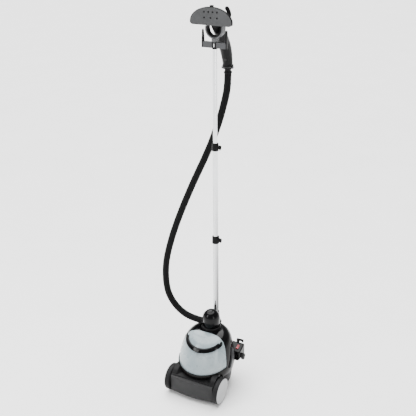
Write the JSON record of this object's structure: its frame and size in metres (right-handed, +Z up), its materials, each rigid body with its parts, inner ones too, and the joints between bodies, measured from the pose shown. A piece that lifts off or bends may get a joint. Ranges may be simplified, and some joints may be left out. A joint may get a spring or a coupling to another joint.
{
  "type": "garment steamer",
  "caption": "Upright garment steamer: wheeled base with lift-off water tank and boiler, telescopic pole, hanger bar, and a hose to a cradled steam wand.",
  "frame": {"origin": "on the floor, in the base's mid-plane, half way between the wheel axle and the pole", "axes": "+X to the machine's right as a person facing its front sees it, -Y to the front, +Z up"},
  "size_m": [0.377, 0.378, 1.556],
  "materials": {
    "black_body": "polished moulding",
    "dark_body": "satin moulding",
    "bumper_grey": "satin moulding",
    "trim_grey": "satin moulding",
    "ring_grey": "satin moulding",
    "tank_clear": "smoky translucent moulding",
    "tyre_black": "smooth",
    "hub_grey": "satin moulding",
    "bright_tube": "polished",
    "steel": "plain",
    "alloy": "cast",
    "brass_part": "plain",
    "rubber_black": "matt",
    "rocker_red": "translucent red",
    "head_black": "satin moulding",
    "plate_grey": "satin coat",
    "bar_grey": "satin moulding",
    "hose_fabric": "fine woven sleeve"
  },
  "bodies": {
    "base": {"base_tray": "dark_body", "seat_ring": "dark_body", "ring_lip": "ring_grey", "seat_floor": "dark_body", "rear_housing": "black_body", "deck_cover": "dark_body", "front_bumper": "bumper_grey", "side_trims": "trim_grey", "control_pod": "black_body", "cord_hook": "dark_body", "outlet_dome": "black_body", "outlet_collar": "dark_body", "pole_boot": "black_body", "mains_gland": "rubber_black", "boiler": "alloy", "heating_element": "steel", "boiler_bracket": "steel", "thermostat": "steel", "steam_outlet_tube": "alloy", "water_inlet_seat": "rubber_black", "terminal_block": "dark_body", "pole_socket": "dark_body", "axle_pins": "steel", "rear_feet": "rubber_black", "base_screws": "steel", "lower_tube": "bright_tube", "lower_coupler": "dark_body", "hose": "hose_fabric"},
    "wheel_left": {"tyre_left": "tyre_black", "hub_cap_left": "hub_grey"},
    "wheel_right": {"tyre_right": "tyre_black", "hub_cap_right": "hub_grey"},
    "tank": {"tank_shell": "tank_clear"},
    "bail": {"tank_bail": "black_body"},
    "cap": {"tank_cap": "dark_body"},
    "valve": {"valve_plunger": "brass_part"},
    "rocker": {"power_rocker": "rocker_red"},
    "knob": {"steam_knob": "bumper_grey"},
    "lower_clamp": {"lower_clamp_knob": "dark_body"},
    "middle_pole": {"middle_tube": "bright_tube", "upper_coupler": "dark_body"},
    "upper_clamp": {"upper_clamp_knob": "dark_body"},
    "pole_top": {"upper_tube": "bright_tube", "cradle": "bar_grey", "cradle_liner": "head_black", "hanger_clip": "dark_body", "hose_cuff": "head_black"},
    "hanger": {"hanger_hub": "head_black", "hanger_bar": "bar_grey", "hanger_prongs": "head_black"},
    "wand": {"steam_plate": "plate_grey", "head_shell": "head_black", "handle_shell_left": "head_black", "handle_shell_right": "head_black", "wand_collar": "head_black", "pivot_pins": "steel", "wand_hook": "head_black", "wand_steam_tube": "alloy"},
    "button": {"steam_button": "bumper_grey"},
    "latch": {"attachment_latch": "dark_body"}
  },
  "joints": [
    {"name": "wheel_left_spin", "type": "hinge", "parent": "base", "child": "wheel_left", "pos_m": [-0.1115, -0.096, 0.055], "axis": [1, 0, 0], "continuous": true},
    {"name": "wheel_right_spin", "type": "hinge", "parent": "base", "child": "wheel_right", "pos_m": [0.1115, -0.096, 0.055], "axis": [1, 0, 0], "continuous": true},
    {"name": "tank_lift", "type": "slide", "parent": "base", "child": "tank", "axis": [0, 0, 1], "range_m": [0, 0.07]},
    {"name": "bail_swing", "type": "hinge", "parent": "tank", "child": "bail", "pos_m": [0, -0.016, 0.226], "axis": [-1, 0, 0], "range_deg": [0, 105]},
    {"name": "cap_turn", "type": "hinge", "parent": "tank", "child": "cap", "pos_m": [0, -0.06, 0.103], "axis": [0, 0, 1], "range_deg": [0, 60]},
    {"name": "valve_push", "type": "slide", "parent": "cap", "child": "valve", "axis": [0, 0, 1], "range_m": [0, 0.0025], "stiffness_N_per_m": 300, "springref_m": -0.002},
    {"name": "rocker_tip", "type": "hinge", "parent": "base", "child": "rocker", "pos_m": [0.117, 0.062, 0.1704], "axis": [1, 0, 0], "range_deg": [0, 12]},
    {"name": "steam_knob_turn", "type": "hinge", "parent": "base", "child": "knob", "pos_m": [0.1364, 0.064, 0.13], "axis": [1, 0, 0], "range_deg": [0, 270]},
    {"name": "lower_clamp_turn", "type": "hinge", "parent": "base", "child": "lower_clamp", "pos_m": [0.02, 0.095, 0.636], "axis": [1, 0, 0], "range_deg": [0, 90]},
    {"name": "pole_lower_slide", "type": "slide", "parent": "base", "child": "middle_pole", "axis": [0, 0, -1], "range_m": [0, 0.34], "deforming": ["hose"]},
    {"name": "upper_clamp_turn", "type": "hinge", "parent": "middle_pole", "child": "upper_clamp", "pos_m": [0.018, 0.095, 1.03], "axis": [1, 0, 0], "range_deg": [0, 90]},
    {"name": "pole_upper_slide", "type": "slide", "parent": "middle_pole", "child": "pole_top", "axis": [0, 0, -1], "range_m": [0, 0.33], "deforming": ["hose"]},
    {"name": "hanger_swivel", "type": "hinge", "parent": "pole_top", "child": "hanger", "pos_m": [0, 0.095, 1.4145], "axis": [0, 0, 1], "range_deg": [-40, 40]},
    {"name": "wand_tip", "type": "hinge", "parent": "pole_top", "child": "wand", "pos_m": [0, 0.206, 1.312], "axis": [-1, 0, 0], "range_deg": [0, 20]},
    {"name": "button_push", "type": "slide", "parent": "wand", "child": "button", "axis": [0, 1, 0], "range_m": [0, 0.0025], "stiffness_N_per_m": 300, "springref_m": -0.002},
    {"name": "latch_push", "type": "slide", "parent": "wand", "child": "latch", "axis": [0, 0, -1], "range_m": [0, 0.002], "stiffness_N_per_m": 300, "springref_m": -0.002}
  ],
  "couplings": [
    {"joint": "pole_upper_slide", "follows": "pole_lower_slide", "ratio": 0.97}
  ]
}
